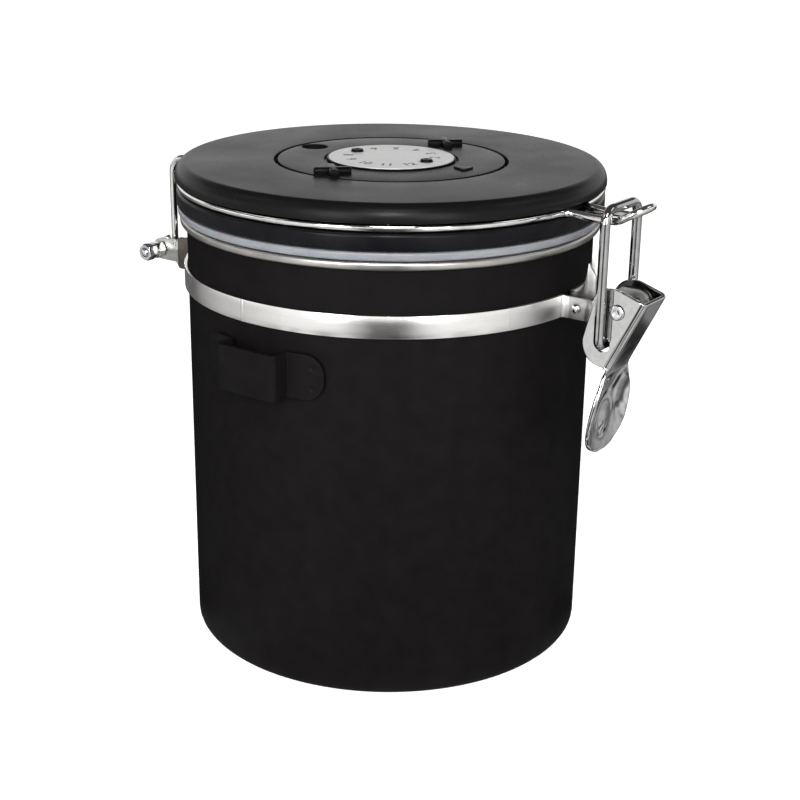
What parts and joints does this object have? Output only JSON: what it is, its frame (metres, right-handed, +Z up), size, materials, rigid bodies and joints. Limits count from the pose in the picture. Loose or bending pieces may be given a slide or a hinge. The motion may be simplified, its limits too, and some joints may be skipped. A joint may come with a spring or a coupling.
{
  "type": "coffee canister",
  "caption": "Round steel food canister with a clamped, wire-bound hinged lid, an over-centre lever latch, a turning date dial in the lid and a scoop holder on the side.",
  "frame": {"origin": "centre of the can's underside", "axes": "+Z up along the can's axis, -Y toward the latch, +Y toward the hinge, -X toward the scoop holder"},
  "size_m": [0.1233, 0.1605, 0.1385],
  "materials": {
    "can_coat": "matt black powder coat",
    "holder_coat": "matt black powder coat over bent sheet",
    "band_steel": "bright rolled steel strip",
    "rivet_steel": "bright steel, domed",
    "bracket_steel": "dull steel sheet",
    "bolt_steel": "bright plated",
    "lid_steel": "satin grey-black coat with a fine grain",
    "lid_plastic": "moulded black plastic",
    "silicone": "translucent pale silicone",
    "chrome_wire": "bright plated wire",
    "chrome_plate": "bright plated pressed sheet",
    "scale_print": "pale printed disc",
    "clip_steel": "spring steel",
    "screw_steel": "plated screws",
    "valve_plastic": "moulded dark plastic",
    "dial_plastic": "satin grey-black plastic",
    "hub_plastic": "black plastic",
    "label_foil": "satin silver foil"
  },
  "bodies": {
    "can": {"can_shell": "can_coat", "scoop_holder": "holder_coat", "clamp_band": "band_steel", "clamp_rivet": "rivet_steel", "latch_rivet": "rivet_steel", "hinge_bracket": "bracket_steel", "hinge_bolt": "bolt_steel", "hinge_nut": "bolt_steel", "hinge_lock_nut": "bolt_steel"},
    "lid": {"lid_cover": "lid_steel", "lid_base": "lid_plastic", "gasket": "silicone", "lid_ring": "chrome_wire", "date_scale": "scale_print", "hub_clip": "clip_steel", "plug_plate": "lid_plastic", "plate_screw_1": "screw_steel", "plate_screw_2": "screw_steel", "plate_screw_3": "screw_steel", "valve_seat": "valve_plastic", "valve_disc": "silicone", "valve_cap": "valve_plastic"},
    "date_ring": {"date_ring": "dial_plastic"},
    "month_hub": {"month_hub": "hub_plastic", "month_label": "label_foil"},
    "lever": {"latch_lever": "chrome_plate"},
    "bail": {"latch_bail": "chrome_wire"}
  },
  "joints": [
    {"name": "lid_hinge", "type": "hinge", "parent": "can", "child": "lid", "pos_m": [0, 0.073, 0.103], "axis": [-1, 0, 0], "range_deg": [0, 110]},
    {"name": "lever_pivot", "type": "hinge", "parent": "can", "child": "lever", "pos_m": [0, -0.0762, 0.1076], "axis": [-1, 0, 0], "range_deg": [0, 120]},
    {"name": "bail_pivot", "type": "hinge", "parent": "lever", "child": "bail", "pos_m": [0, -0.0725, 0.0984], "axis": [-1, 0, 0], "range_deg": [-90, 0]},
    {"name": "date_ring_turn", "type": "hinge", "parent": "lid", "child": "date_ring", "pos_m": [0, 0, 0.136], "axis": [0, 0, 1], "continuous": true},
    {"name": "month_hub_turn", "type": "hinge", "parent": "lid", "child": "month_hub", "pos_m": [0, 0, 0.136], "axis": [0, 0, 1], "continuous": true}
  ],
  "couplings": [
    {"joint": "bail_pivot", "follows": "lever_pivot", "ratio": -0.75}
  ]
}
